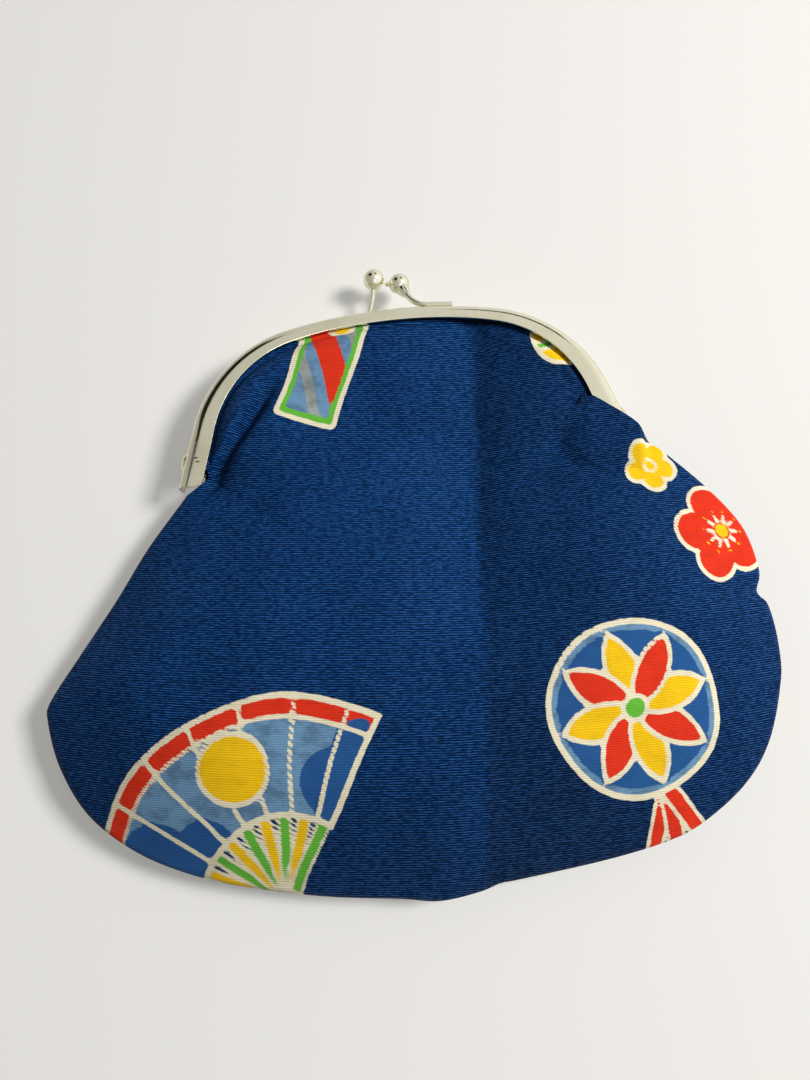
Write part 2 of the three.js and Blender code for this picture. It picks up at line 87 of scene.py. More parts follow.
# The kiss lock.
BALL_RADIUS = 2.4
REAR_BALL = (-2.9, 39.6, 0.4)
FRONT_BALL = (2.9, 38.3, -0.4)
WIRE_RADIUS = 0.65
STEM_RADIUS = 0.5
WIRE_LIFT = 2.7
FOOT_GAP = 0.12
FRONT_FOOT = (6.8, 14.1)
REAR_FOOT = (-5.6, -13.5)
HEEL_SETBACK = 1.8
CORNER_SHARE = 0.62
LINK_REACH = 1.0
LINK_RADIUS = 0.5
LINK_WAY = (-1, 0.06, 0)

# Two small nicks in the left leg's face, each longer across the purse.
NICKS = [(-45.6, -0.3), (-45.3, -1.2)]
NICK_RADIUS = 0.22
NICK_STRETCH = (0.4, 1.0)

# The cloths.
CLOTH = 0.6
LINING = 0.3
LINING_INSET = 1.3
CORD_RADIUS = 0.4
CORD_LIFT = 1.25
BAG_CENTRE = (-3.4, -40.3)
BELLY_CREST = 13
MOUTH_CREST = 6.8
CLOTH_TUCK = 1.6
CHANNEL_HEIGHT = 3.3
RIB_PITCH = 0.46
INK_OVERLAP = 0.45
LEAST_FILLING = 1.7
LINING_PITCH = 0.5
SEAM_LIP = 1.25
SEAM_STEP = 0.32
CLOTH_STEPS = 216
LINING_STEPS = 110

# The front cloth's edge over the right leg's face, and how high it lies there.
OVER_RIGHT_LEG = [(51.4, -4.9), (48.8, -2.1), (44.7, 1.3), (41.3, 4.0), (41.0, 5.6)]
OVER_LEG_HEIGHT = 5.5

# The bag's edge in the photo, from the left leg's end along the bottom to the right leg's end.
BAG_EDGE = [
    (-49.8, -8.2), (-57.9, -18.0), (-65.2, -28.6), (-73.2, -39.3), (-79.6, -48.1), (-80.4, -52.3),
    (-78.0, -62.2), (-72.3, -72.2), (-62.6, -80.4), (-50.9, -86.1), (-39.3, -89.6), (-25.7, -92.6),
    (-11.9, -94.6), (-4.1, -95.9), (3.9, -95.1), (8.1, -94.0), (12.1, -93.7), (28.4, -92.2), (40.9, -90.3),
    (49.6, -87.6), (60.1, -81.0), (67.0, -72.8), (71.8, -61.1), (72.9, -52.9), (72.4, -45.4),
    (70.6, -42.4), (72.0, -37.8), (70.4, -28.2), (65.0, -19.4), (58.8, -11.9), (53.8, -6.9), (49.3, -5.7),
]


# Outline of the frame

CORNER_TURN = math.pi / 2 - LEG_SPLAY
TOP_TURN = math.asin(
    (FRAME_WIDTH / 2 * math.cos(LEG_SPLAY) - LEG_DROP * math.sin(LEG_SPLAY) - CORNER_RADIUS
     + (TOP_RADIUS - FRAME_RISE) * math.sin(LEG_SPLAY)) / (TOP_RADIUS - CORNER_RADIUS)
) - LEG_SPLAY
CORNER_X = (TOP_RADIUS - CORNER_RADIUS) * math.sin(TOP_TURN)
CORNER_Y = FRAME_RISE - TOP_RADIUS + (TOP_RADIUS - CORNER_RADIUS) * math.cos(TOP_TURN)
LEG_LENGTH = (CORNER_Y + CORNER_RADIUS * math.sin(LEG_SPLAY) + LEG_DROP) / math.cos(LEG_SPLAY)
TOP_LENGTH = TOP_RADIUS * TOP_TURN
CORNER_LENGTH = CORNER_RADIUS * (CORNER_TURN - TOP_TURN)
HALF_LENGTH = TOP_LENGTH + CORNER_LENGTH + LEG_LENGTH


def frame_outline(s):
    """Points and inward directions of the frame's outer side at distances s from its top middle."""
    side = np.where(s < 0, -1.0, 1.0)
    along = np.abs(s)
    on_top = along <= TOP_LENGTH
    turn = np.where(on_top, along / TOP_RADIUS,
                    np.minimum(TOP_TURN + (along - TOP_LENGTH) / CORNER_RADIUS, CORNER_TURN))
    down = np.maximum(0, along - TOP_LENGTH - CORNER_LENGTH)
    x = np.where(on_top, TOP_RADIUS * np.sin(turn), CORNER_X + CORNER_RADIUS * np.sin(turn))
    y = np.where(on_top, FRAME_RISE - TOP_RADIUS + TOP_RADIUS * np.cos(turn),
                 CORNER_Y + CORNER_RADIUS * np.cos(turn))
    point = np.stack([side * (x + down * math.sin(LEG_SPLAY)), y - down * math.cos(LEG_SPLAY)], -1)
    inward = np.stack([-side * np.sin(turn), -np.cos(turn)], -1)
    return point, inward


def smooth(low, high, value):
    """0 below low, 1 above high and 3t^2 - 2t^3 between them."""
    t = np.clip((value - low) / (high - low), 0, 1)
    return t * t * (3 - 2 * t)


def plateau(start, low, high, end, value):
    """1 from low to high, fading to 0 at start and end."""
    return smooth(start, low, value) * (1 - smooth(high, end, value))


def face_width(s):
    """The width of the frame's face, which grows from the top's middle to the leg."""
    share = smooth(TOP_LENGTH * 0.5, HALF_LENGTH - LEG_LENGTH * 0.5, np.abs(s))
    return FACE_WIDTH_TOP + (FACE_WIDTH_LEG - FACE_WIDTH_TOP) * share


def leg_outer_x(y):
    """The x of the frame's outer side at a height y on its straight leg."""
    return FRAME_WIDTH / 2 - (y + LEG_DROP) * math.tan(LEG_SPLAY)


# Meshes

def placed(name, data):
    """A new object in the scene."""
    item = bpy.data.objects.new(name, data)
    bpy.context.scene.collection.objects.link(item)
    return item


def piece(name, points, faces, material, body, nodes, extras=None):
    """A smooth-shaded piece. extras gives further point attributes, as numbers or as vectors."""
    points = HINGE + np.asarray(points, float).reshape(-1, 3) * MM
    mesh = bpy.data.meshes.new(name)
    mesh.from_pydata(points.tolist(), [], [list(map(int, f)) for f in faces])
    mesh.polygons.foreach_set("use_smooth", [True] * len(mesh.polygons))
    for key, values in (extras or {}).items():
        values = np.asarray(values, np.float32)
        vector = values.ndim == 2
        column = mesh.attributes.new(key, "FLOAT_VECTOR" if vector else "FLOAT", "POINT")
        column.data.foreach_set("vector" if vector else "value", values.ravel())
    mesh.materials.append(material)
    mesh.update()
    item = placed(name, mesh)
    if body:
        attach(item, body)
    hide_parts(*nodes)
    return item


def grid_faces(rows, columns, closed=False):
    """The faces of a grid of rows by columns, whose columns join up if it is closed."""
    i, j = np.meshgrid(np.arange(rows - 1), np.arange(columns if closed else columns - 1), indexing="ij")
    k = (j + 1) % columns
    corners = [i * columns + j, i * columns + k, (i + 1) * columns + k, (i + 1) * columns + j]
    return np.stack(corners, -1).reshape(-1, 4)


def tube_of_rings(rings):
    """Points and faces of a closed tube through rings, with a flat face over each end."""
    rows, columns = rings.shape[:2]
    faces = [tuple(f) for f in grid_faces(rows, columns, closed=True)]
    faces.append(tuple(range(columns))[::-1])
    faces.append(tuple(range((rows - 1) * columns, rows * columns)))
    return rings.reshape(-1, 3), faces


def joined(*parts):
    """Several sets of points and faces as one."""
    points, faces, start = [], [], 0
    for p, f in parts:
        points.append(np.asarray(p, float).reshape(-1, 3))
        faces += [tuple(int(i) + start for i in face) for face in f]
        start += len(points[-1])
    return np.concatenate(points), faces


def outward(points, faces):
    """The same closed mesh with its faces turned outward."""
    points = np.asarray(points, float).reshape(-1, 3)
    volume = 0.0
    for f in faces:
        a, b, c = points[f[0]], points[list(f[1:-1])], points[list(f[2:])]
        volume += float(np.cross(b, c).dot(a).sum())
    return points, (faces if volume > 0 else [f[::-1] for f in faces])


def spline(points, steps):
    """A Catmull-Rom curve through points."""
    points = np.asarray(points, float)
    padded = np.concatenate([[2 * points[0] - points[1]], points, [2 * points[-1] - points[-2]]])
    t = np.linspace(0, len(points) - 1, steps)
    i = np.minimum(t.astype(int), len(points) - 2)
    u = (t - i)[:, None]
    a, b, c, d = (padded[i + k] for k in range(4))
    square, cube = 2 * a - 5 * b + 4 * c - d, 3 * b - a - 3 * c + d
    return 0.5 * (2 * b + (c - a) * u + square * u ** 2 + cube * u ** 3)


def swept_tube(path, radii, sides=24):
    """A round tube about a path, of the radii given along it."""
    along = np.gradient(path, axis=0)
    along /= np.linalg.norm(along, axis=1, keepdims=True)
    across = np.cross(along, [0.0, 0.0, 1.0])
    across /= np.linalg.norm(across, axis=1, keepdims=True)
    up = np.cross(across, along)
    turn = np.linspace(0, 2 * math.pi, sides, endpoint=False)[None, :, None]
    radii = np.broadcast_to(np.asarray(radii, float), len(path))[:, None, None]
    rings = path[:, None] + radii * (np.cos(turn) * across[:, None] + np.sin(turn) * up[:, None])
    return outward(*tube_of_rings(rings))


def turned_body(profile, origin, axis, sides=48):
    """A solid of revolution: profile gives (distance along the axis, radius), from pole to pole."""
    axis = np.asarray(axis, float) / np.linalg.norm(axis)
    side = np.cross(axis, [0.0, 0.0, 1.0] if abs(axis[2]) < 0.9 else [1.0, 0.0, 0.0])
    side /= np.linalg.norm(side)
    other = np.cross(axis, side)
    turn = np.linspace(0, 2 * math.pi, sides, endpoint=False)[None, :, None]
    profile = np.asarray(profile, float)
    h, r = profile[:, 0, None, None], np.maximum(profile[:, 1], 1e-3)[:, None, None]
    rings = np.asarray(origin, float) + h * axis + r * (np.cos(turn) * side + np.sin(turn) * other)
    return outward(*tube_of_rings(rings))


# Node groups

def fill(node, inputs):
    """Links each socket given, and sets each value given, to the node's inputs."""
    for key, value in inputs.items():
        if isinstance(value, bpy.types.NodeSocket):
            node.id_data.links.new(value, node.inputs[key])
        else:
            node.inputs[key].default_value = value
    return node


def tidy_tree(tree):
    """A quick way to add a node with its settings and inputs."""
    def add(kind, inputs=None, **settings):
        node = tree.nodes.new(kind)
        for key, value in settings.items():
            setattr(node, key, value)
        return fill(node, inputs or {})
    return add


SOCKETS = {1: "NodeSocketFloat", 3: "NodeSocketVector", 4: "NodeSocketColor"}


def new_group(name, inputs, outputs):
    """An empty shader node group. An input's default gives its size, and an output is given by its size."""
    tree = bpy.data.node_groups.new(name, "ShaderNodeTree")
    for label, value in inputs.items():
        socket = tree.interface.new_socket(label, in_out="INPUT", socket_type=SOCKETS[np.size(value)])
        socket.default_value = value
    for label, size in outputs.items():
        tree.interface.new_socket(label, in_out="OUTPUT", socket_type=SOCKETS[size])
    return tree, tidy_tree(tree), tree.nodes.new("NodeGroupInput").outputs, tree.nodes.new("NodeGroupOutput")


def math_node(add, operation, a, b=0.0, c=0.0):
    return add("ShaderNodeMath", {0: a, 1: b, 2: c}, operation=operation).outputs[0]


def scaled(add, colour, factor):
    return add("ShaderNodeVectorMath", {0: colour, "Scale": factor}, operation="SCALE").outputs[0]


def attribute(add, name, output="Fac"):
    return add("ShaderNodeAttribute", attribute_name=name).outputs[output]


def bumped(add, strength, distance, height):
    return add("ShaderNodeBump", {"Strength": strength, "Distance": distance, "Height": height}).outputs[0]


def mix_colour(add, share, a, b):
    return add("ShaderNodeMix", {0: share, 6: a, 7: b}, data_type="RGBA").outputs[2]


def noise(add, vector, scale, detail=2.0, rough=0.5):
    node = add("ShaderNodeTexNoise", {"Vector": vector, "Scale": scale, "Detail": detail, "Roughness": rough})
    return node.outputs["Fac"]


def stretched(add, vector, scale):
    return add("ShaderNodeVectorMath", {0: vector, 1: scale}, operation="MULTIPLY").outputs[0]


def remap(add, value, low, high, out_low=0.0, out_high=1.0):
    node = add("ShaderNodeMapRange", {0: value, 1: low, 2: high, 3: out_low, 4: out_high},
               interpolation_type="SMOOTHSTEP")
    return node.outputs[0]


def ribbed_weave_group():
    """Cross ribs along u, broken up into short floats of thread.

    A rib is a sine of v, and the floats are a noise that is long along u. A strand is a rib's crest times its
    float."""
    tree, add, given, out = new_group(
        "ribbed_weave", {"Cloth": (0, 0, 0), "Pitch": RIB_PITCH, "Waviness": 0.3}, {"Crest": 1, "Strand": 1})
    cloth = given["Cloth"]
    wander = math_node(add, "SUBTRACT", noise(add, stretched(add, cloth, (0.3, 0.9, 1)), 1.0, 3.0), 0.5)
    shift = math_node(add, "MULTIPLY", wander, given["Waviness"])
    v = add("ShaderNodeSeparateXYZ", {0: cloth}).outputs[1]
    phase = math_node(add, "DIVIDE", math_node(add, "ADD", v, shift), given["Pitch"])
    wave = math_node(add, "SINE", math_node(add, "MULTIPLY", phase, 2 * math.pi))
    crest = math_node(add, "MULTIPLY_ADD", wave, 0.5, 0.5)
    floats = noise(add, stretched(add, cloth, (0.75, 3.0, 1)), 1.0, 1.0, 0.5)
    strand = math_node(add, "MULTIPLY", crest, remap(add, floats, 0.36, 0.62, 0.42, 1.0))
    fill(out, {"Crest": crest, "Strand": strand})
    return tree


def printed_ink_group():
    """One mottled ink, which covers the cloth where the distance to its wandering edge is below zero."""
    tree, add, given, out = new_group(
        "printed_ink",
        {"Colour": (0, 0, 0, 1), "Ink": (1, 1, 1, 1), "Distance": 1.0, "Cloth": (0, 0, 0), "Mottle": 0.25},
        {"Colour": 4},
    )
    cloth = given["Cloth"]
    wander = math_node(add, "SUBTRACT", noise(add, stretched(add, cloth, (0.55, 0.6, 1)), 1.0, 3.0), 0.5)
    distance = math_node(add, "MULTIPLY_ADD", wander, 0.4, given["Distance"])
    cover = remap(add, distance, -0.12, 0.1, 1.0, 0.0)
    patches = remap(add, noise(add, stretched(add, cloth, (0.22, 0.3, 1)), 1.0, 3.0, 0.6), 0.42, 0.66)
    light = math_node(add, "SUBTRACT", 1.0, math_node(add, "MULTIPLY", patches, given["Mottle"]))
    fill(out, {"Colour": mix_colour(add, cover, given["Colour"], scaled(add, given["Ink"], light))})
    return tree


def handled_group():
    """Marks of handling on a polished surface: broad smudges and fine scratches, both from 0 to 1."""
    tree, add, given, out = new_group(
        "handled", {"Place": (0, 0, 0), "Smudge Size": 120.0, "Scratch Size": 900.0},
        {"Smudge": 1, "Scratch": 1},
    )
    place = given["Place"]
    smudge = remap(add, noise(add, place, given["Smudge Size"], 4.0, 0.6), 0.4, 0.7)
    long_way = stretched(add, place, (0.25, 1.0, 1.0))
    scratch = remap(add, noise(add, long_way, given["Scratch Size"], 3.0, 0.6), 0.6, 0.75)
    fill(out, {"Smudge": smudge, "Scratch": scratch})
    return tree


RIBBED_WEAVE = ribbed_weave_group()
PRINTED_INK = printed_ink_group()
HANDLED = handled_group()


def use_group(add, tree, inputs):
    """The outputs of a group placed in a material with its own values."""
    return add("ShaderNodeGroup", inputs, node_tree=tree).outputs


# Materials

def linear(red, green, blue):
    """An sRGB colour from 0 to 255 as linear values with an alpha of 1."""
    share = np.array([red, green, blue]) / 255
    low, high = share / 12.92, ((share + 0.055) / 1.055) ** 2.4
    return (*np.where(share <= 0.04045, low, high).tolist(), 1.0)


def new_material(name):
    material = bpy.data.materials.new(name)
    material.use_nodes = True
    return material, tidy_tree(material.node_tree), material.node_tree.nodes["Principled BSDF"]


def polished_nickel():
    """Warm polished nickel plate with faint smudges, hairline scratches and the NICKS."""
    material, add, shader = new_material("polished_nickel")
    place = add("ShaderNodeTexCoord").outputs["Object"]
    marks = use_group(add, HANDLED, {"Place": place})
    colour = mix_colour(add, marks["Smudge"], linear(233, 230, 206), linear(226, 221, 195))
    flat = stretched(add, place, (*NICK_STRETCH, 0))
    for spot in NICKS:
        at = (HINGE + np.array([*spot, 0]) * MM) * (*NICK_STRETCH, 0)
        away = add("ShaderNodeVectorMath", {0: flat, 1: at.tolist()}, operation="DISTANCE").outputs["Value"]
        nick = remap(add, away, NICK_RADIUS * 0.6 * MM, NICK_RADIUS * MM, 0.85, 0.0)
        colour = mix_colour(add, nick, colour, linear(30, 26, 22))
    rough = remap(add, marks["Smudge"], 0, 1, 0.12, 0.19)
    fill(shader, {
        "Base Color": colour, "Metallic": 1.0,
        "Roughness": math_node(add, "MULTIPLY_ADD", marks["Scratch"], 0.08, rough),
        "Normal": bumped(add, 0.04, 0.0001, marks["Scratch"]),
    })
    return material


INKS = {
    "steel": linear(104, 142, 176),
    "mid_blue": linear(38, 84, 140),
    "grey": linear(150, 158, 156),
    "yellow": linear(236, 190, 26),
    "green": linear(98, 178, 62),
    "red": linear(214, 52, 30),
    "cream": linear(226, 218, 190),
}


def ribbed_cloth(name):
    """Blue ribbed cloth with painted shade in its grooves, painted highlights on its floats of thread,
    painted shade right of its fold and towards the bottom, and the print over it.
    """
    material, add, shader = new_material(name)
    cloth = attribute(add, "cloth", "Vector")
    weave = use_group(add, RIBBED_WEAVE, {"Cloth": cloth})
    broad = noise(add, stretched(add, cloth, (0.05, 0.05, 1)), 1.0, 4.0, 0.6)
    dyed = mix_colour(add, remap(add, broad, 0.35, 0.68), linear(6, 42, 85), linear(9, 47, 93))
    # Painted shade and highlight of the ribs: the colour is darkened in the grooves and lightened on the
    # floats of thread.
    depth = math_node(add, "MULTIPLY_ADD", weave["Strand"], 2.7, 0.08)
    # The colour is multiplied by a point attribute that paints shade: darker right of the fold and towards
    # the bottom.
    shaded = scaled(add, dyed, math_node(add, "MULTIPLY", depth, attribute(add, "painted_shade")))
    # Painted highlight: the strongest floats of thread are mixed towards a pale blue.
    painted_glint = remap(add, weave["Strand"], 0.45, 1.0, 0.0, 0.07)
    colour = mix_colour(add, painted_glint, shaded, linear(110, 158, 214))
    for ink, shade in INKS.items():
        colour = use_group(add, PRINTED_INK, {
            "Colour": colour, "Ink": shade, "Distance": attribute(add, "ink_" + ink), "Cloth": cloth,
            "Mottle": 0.35 if ink in ("steel", "grey") else 0.1,
        })["Colour"]
    # The base colour is darkened once more in the rib grooves, a painted shade that falls on the print too.
    fill(shader, {
        "Base Color": scaled(add, colour, remap(add, weave["Crest"], 0.0, 0.5, 0.82, 1.0)),
        "Roughness": remap(add, weave["Strand"], 0.1, 0.8, 0.75, 0.42),
        "Specular IOR Level": 0.06,
        "Normal": bumped(add, 0.6, 0.0001, weave["Strand"]),
    })
    return material


def plain_lining():
    """Fine plain-weave lining cloth: a checker of tiny over and under threads."""
    material, add, shader = new_material("lining_weave")
    cloth = attribute(add, "cloth", "Vector")
    parts = add("ShaderNodeSeparateXYZ", {0: cloth}).outputs
    threads = [math_node(add, "SINE", math_node(add, "MULTIPLY", parts[k], 2 * math.pi / LINING_PITCH))
               for k in range(2)]
    weave = math_node(add, "MULTIPLY", *threads)
    slub = noise(add, stretched(add, cloth, (0.2, 2.0, 1)), 1.0, 3.0)
    share = remap(add, math_node(add, "MULTIPLY_ADD", weave, 0.3, slub), 0.1, 1.0)
    fill(shader, {
        "Base Color": mix_colour(add, share, linear(24, 34, 60), linear(46, 60, 96)),
        "Roughness": remap(add, slub, 0.3, 0.7, 0.75, 0.92),
        "Sheen Weight": 0.15,
        "Normal": bumped(add, 0.35, 0.0001, weave),
    })
    return material


def twisted_paper():
    """Brown paper cord: a helix of pleats round the cord, at a steep angle."""
    material, add, shader = new_material("twisted_paper")
    cloth = attribute(add, "cloth", "Vector")
    parts = add("ShaderNodeSeparateXYZ", {0: cloth}).outputs
    pleat = math_node(add, "SINE", math_node(add, "MULTIPLY_ADD", parts[0], 4.2, parts[1]))
    fibre = noise(add, stretched(add, cloth, (2.0, 1.0, 1)), 2.0, 3.0)
    share = remap(add, math_node(add, "ADD", pleat, fibre), -0.6, 1.4)
    fill(shader, {
        "Base Color": mix_colour(add, share, linear(140, 112, 74), linear(196, 168, 124)),
        "Roughness": remap(add, fibre, 0.3, 0.7, 0.8, 0.95),
        "Normal": bumped(add, 0.6, 0.0002, pleat),
    })
    return material


NICKEL = polished_nickel()
PRINTED_CLOTH = ribbed_cloth("printed_ribbed_cloth")
LINING_WEAVE = plain_lining()
PAPER = twisted_paper()


# Frame halves

def shell_section(width, arc_steps=14):
    """The face, the shoulder (a quarter of an ellipse) and the spine of one half, as (inward, up) points."""
    turn = np.linspace(0, math.pi / 2, arc_steps)
    near = FIT_GAP / 2
    reach = width * 0.5
    centre = HALF_DEPTH - SHOULDER_DROP
    outer = np.stack([reach - reach * np.cos(turn), centre + SHOULDER_DROP * np.sin(turn)], -1)
    back = turn[::-1]
    inner_up = centre + (SHOULDER_DROP - SHEET) * np.sin(back)
    inner = np.stack([reach - (reach - SHEET) * np.cos(back), inner_up], -1)
    to_leg = (width - FACE_WIDTH_TOP) / (FACE_WIDTH_LEG - FACE_WIDTH_TOP)
    lip = LIP_ON_TOP + (LIP_ON_LEG - LIP_ON_TOP) * to_leg
    edge = np.stack([width - lip + lip * np.sin(turn), HALF_DEPTH - lip + lip * np.cos(turn)], -1)
    face = np.linspace(reach, width - lip, 8)[1:-1]
    flat = np.stack([face, np.full_like(face, HALF_DEPTH)], -1)
    return np.concatenate([
        [[0, near], [0, near + 0.05], [0, (near + centre) / 2]], outer, flat, edge,
        [[width, HALF_DEPTH - SHEET]], inner, [[SHEET, near + 0.05], [SHEET, near]],
    ])


def wall_section(width):
    """The inner wall of one half's channel, a flat strip beside the other half."""
    near = FIT_GAP / 2
    far = width - INNER_WALL_SHORTER
    return np.array([[SHEET * 0.9, near], [far, near], [far, near + SHEET], [SHEET * 0.9, near + SHEET]])


def swept_half(section_of, facing, end_cut, steps=360):
    """A section carried round the frame. end_cut(n) says how much shorter the legs are at n inward."""
    s = np.linspace(-HALF_LENGTH, HALF_LENGTH, steps)
    widths = face_width(s)
    sections = np.stack([section_of(w) for w in widths])
    n, up = sections[..., 0], sections[..., 1]
    cut = end_cut(n)
    fade = np.clip(1 - (HALF_LENGTH - np.abs(s)) / (LEG_LENGTH * 0.9), 0, 1)[:, None]
    point, inward = frame_outline(s[:, None] - np.sign(s)[:, None] * cut * fade)
    flat = point + inward * n[..., None]
    rings = np.concatenate([flat, facing * up[..., None]], -1)
    return outward(*tube_of_rings(rings))


def ear(inner, outer, facing, side):
    """A round lobe about the hinge line on a straight neck up to its half's face, cut from sheet."""
    turn = np.linspace(math.pi, 2 * math.pi, 33)
    reach = HALF_DEPTH - SHEET / 2
    outline = np.stack([EAR_RADIUS * np.cos(turn), EAR_RADIUS * np.sin(turn)], -1)
    outline = np.concatenate([outline, [[EAR_RADIUS, reach], [-EAR_RADIUS, reach]]])
    rings = np.stack([
        np.stack([np.full(len(outline), side * x), outline[:, 0], facing * outline[:, 1]], -1)
        for x in (inner, outer)
    ])
    return outward(*tube_of_rings(rings))


FRONT_EAR_OUTER = leg_outer_x(EAR_RADIUS) - SHEET - FIT_GAP / 2
FRONT_EAR_INNER = FRONT_EAR_OUTER - SHEET
REAR_EAR_OUTER = FRONT_EAR_INNER - FIT_GAP
REAR_EAR_INNER = REAR_EAR_OUTER - SHEET


def front_leg_cut(n):
    """The front leg's bevelled end: a slow slope, and a steep one at the face's inside."""
    return 1.1 * np.clip(n / 4.4, 0, 1) + 3.2 * np.clip((n - 4.4) / 1.8, 0, None)


def rear_leg_cut(n):
    """The rear leg stops short of the front one outside its ear, and runs on to the ear's end inside it."""
    outside = (LEG_DROP + EAR_RADIUS + 2 * FIT_GAP) / math.cos(LEG_SPLAY)
    inside = (LEG_DROP - EAR_RADIUS) / math.cos(LEG_SPLAY)
    return outside + (inside - outside) * smooth(2.5, 2.7, n)


def wall_cut(n):
    """Both inner walls end above the ears."""
    return (LEG_DROP + HINGE_RELIEF) / math.cos(LEG_SPLAY) + 0 * n


def metal_piece(name, points, faces, body, node, split=0):
    """A nickel-plated piece. Its shading breaks at edges sharper than split degrees, if that is given."""
    item = piece(name, points, faces, NICKEL, body, [node])
    if split:
        item.modifiers.new("crisp_corners", "EDGE_SPLIT").split_angle = math.radians(split)


def frame_half(name, facing, leg_cut, ears, body, node):
    parts = [swept_half(shell_section, facing, leg_cut), swept_half(wall_section, facing, wall_cut)]
    parts += [ear(*ears, facing, side) for side in (-1, 1)]
    metal_piece(name, *joined(*parts), body, node, 40)


def rivet(side):
    """A domed head seated square on the splayed leg, a shank through both ears and a flat peened tail."""
    seat = leg_outer_x(0) + FIT_GAP / math.cos(LEG_SPLAY)
    turn = np.linspace(0, math.pi / 2, 14)
    dome = np.stack([RIVET_HEAD_RISE * np.sin(turn), RIVET_HEAD_RADIUS * np.cos(turn)], -1)
    under = [[0, 0], [0, RIVET_HEAD_RADIUS * 0.97]]
    axis = (side * math.cos(LEG_SPLAY), math.sin(LEG_SPLAY), 0)
    tail = REAR_EAR_INNER - FIT_GAP
    thick, wide = RIVET_TAIL_THICKNESS, RIVET_TAIL_RADIUS
    length = seat + SHEET - tail + thick
    shank = [[0, 0], [0, wide * 0.9], [0.1, wide], [thick, wide], [thick, RIVET_SHANK_RADIUS],
             [length, RIVET_SHANK_RADIUS], [length, 0]]
    return joined(
        turned_body(np.concatenate([under, dome]), (side * seat, 0, 0), axis),
        turned_body(shank, (side * (tail - thick), 0, 0), (side, 0, 0), 32),
    )


def clasp_ball(at, neck_end):
    """A ball, turned about the way towards its stem."""
    turn = np.linspace(0, math.pi, 40)
    ball = np.stack([-BALL_RADIUS * np.cos(turn), BALL_RADIUS * np.sin(turn)], -1)
    return turned_body(ball, at, np.asarray(neck_end, float) - at, 64)


def link_stub(at, towards):
    """A short round-ended stub on a ball's side."""
    end, r = BALL_RADIUS + LINK_REACH, LINK_RADIUS
    profile = [[0, 0], [0, r], [end - r, r], [end - r * 0.3, r * 0.7], [end, 0]]
    return turned_body(profile, at, towards, 24)


def frame_top(x):
    """The y of a wire's centre that lies along the frame's top at x."""
    return FRAME_RISE - TOP_RADIUS + math.sqrt(TOP_RADIUS ** 2 - x * x) + WIRE_RADIUS + FOOT_GAP


def stem_path(ball, foot, facing, steps=72):
    """A wire that lies along the frame's top to its heel and then bends up to the ball."""
    start, end = foot
    lift = facing * WIRE_LIFT
    hub = np.array(ball)
    heel_x = start + math.copysign(HEEL_SETBACK, end)
    corner = np.array([hub[0] + (start - hub[0]) * CORNER_SHARE, frame_top(start), lift])
    away = corner - hub
    neck = hub + away / np.linalg.norm(away) * (BALL_RADIUS * 0.96)
    lying = steps // 3
    x = np.linspace(end, heel_x, lying, endpoint=False)
    foot_part = np.stack([x, np.array([frame_top(v) for v in x]), np.full(lying, lift)], -1)
    heel = np.array([heel_x, frame_top(heel_x), lift])
    t = np.linspace(0, 1, steps - lying)[:, None]
    bend = heel * (1 - t) ** 2 + corner * 2 * t * (1 - t) + neck * t * t
    return np.concatenate([foot_part, bend])


def flared(steps, foot, neck, mouth):
    """Radii along a stem: foot at first, then neck, and flaring to mouth at the end."""
    t = np.linspace(0, 1, steps)
    return foot + (neck - foot) * smooth(0.5, 0.7, t) + (mouth - neck) * smooth(0.78, 1.0, t) ** 1.5


def paper_cord(name, facing, body, node):
    start = HALF_LENGTH - (LEG_DROP + EAR_RADIUS + 3 * FIT_GAP) / math.cos(LEG_SPLAY)
    s = np.linspace(-start, start, 240)
    point, inward = frame_outline(s)
    flat = point + inward * (SHEET + FIT_GAP + CORD_RADIUS)
    path = np.concatenate([flat, np.full((len(s), 1), facing * CORD_LIFT)], -1)
    sides = 12
    points, faces = swept_tube(path, CORD_RADIUS, sides)
    around = np.tile(np.linspace(0, 2 * math.pi, sides, endpoint=False), len(s))
    cloth = np.stack([np.repeat(s, sides), around, np.zeros(len(points))], -1)
    piece(name, points, faces, PAPER, body, [node], {"cloth": cloth})


def make_metal():
    front_ears, rear_ears = (FRONT_EAR_INNER, FRONT_EAR_OUTER), (REAR_EAR_INNER, REAR_EAR_OUTER)
    frame_half("front_frame", 1, front_leg_cut, front_ears, "front", "front_frame_half")
    frame_half("rear_frame", -1, rear_leg_cut, rear_ears, "back", "rear_frame_half")
    for side, word in ((-1, "left"), (1, "right")):
        metal_piece(word + "_rivet", *rivet(side), "front", word + "_hinge_rivet", 50)
    rear_radii = (WIRE_RADIUS, STEM_RADIUS, STEM_RADIUS * 1.25)
    front_radii = (WIRE_RADIUS, WIRE_RADIUS * 1.05, WIRE_RADIUS * 2.3)
    locks = (("rear", REAR_BALL, REAR_FOOT, -1, "back", rear_radii),
             ("front", FRONT_BALL, FRONT_FOOT, 1, "front", front_radii))
    for word, at, foot, facing, body, radii in locks:
        path = stem_path(at, foot, facing)
        stem = swept_tube(path, flared(len(path), *radii))
        metal_piece(word + "_stem", *stem, body, word + "_clasp_stem", 50)
        parts = [clasp_ball(np.array(at), path[-1])]
        if word == "front":
            parts.append(link_stub(at, LINK_WAY))
        metal_piece(word + "_ball", *joined(*parts), body, word + "_clasp_ball")
    paper_cord("front_cord_of_paper", 1, "front", "front_paper_cord")
    paper_cord("rear_cord_of_paper", -1, "back", "rear_paper_cord")


# The print: each shape is a signed distance in millimetres, below zero inside

def turned(x, y, at, degrees):
    """x and y seen from a motif at a place, turned by degrees."""
    c, s = math.cos(math.radians(degrees)), math.sin(math.radians(degrees))
    dx, dy = x - at[0], y - at[1]
    return c * dx + s * dy, c * dy - s * dx


def disc(x, y, radius, at=(0, 0)):
    return np.hypot(x - at[0], y - at[1]) - radius


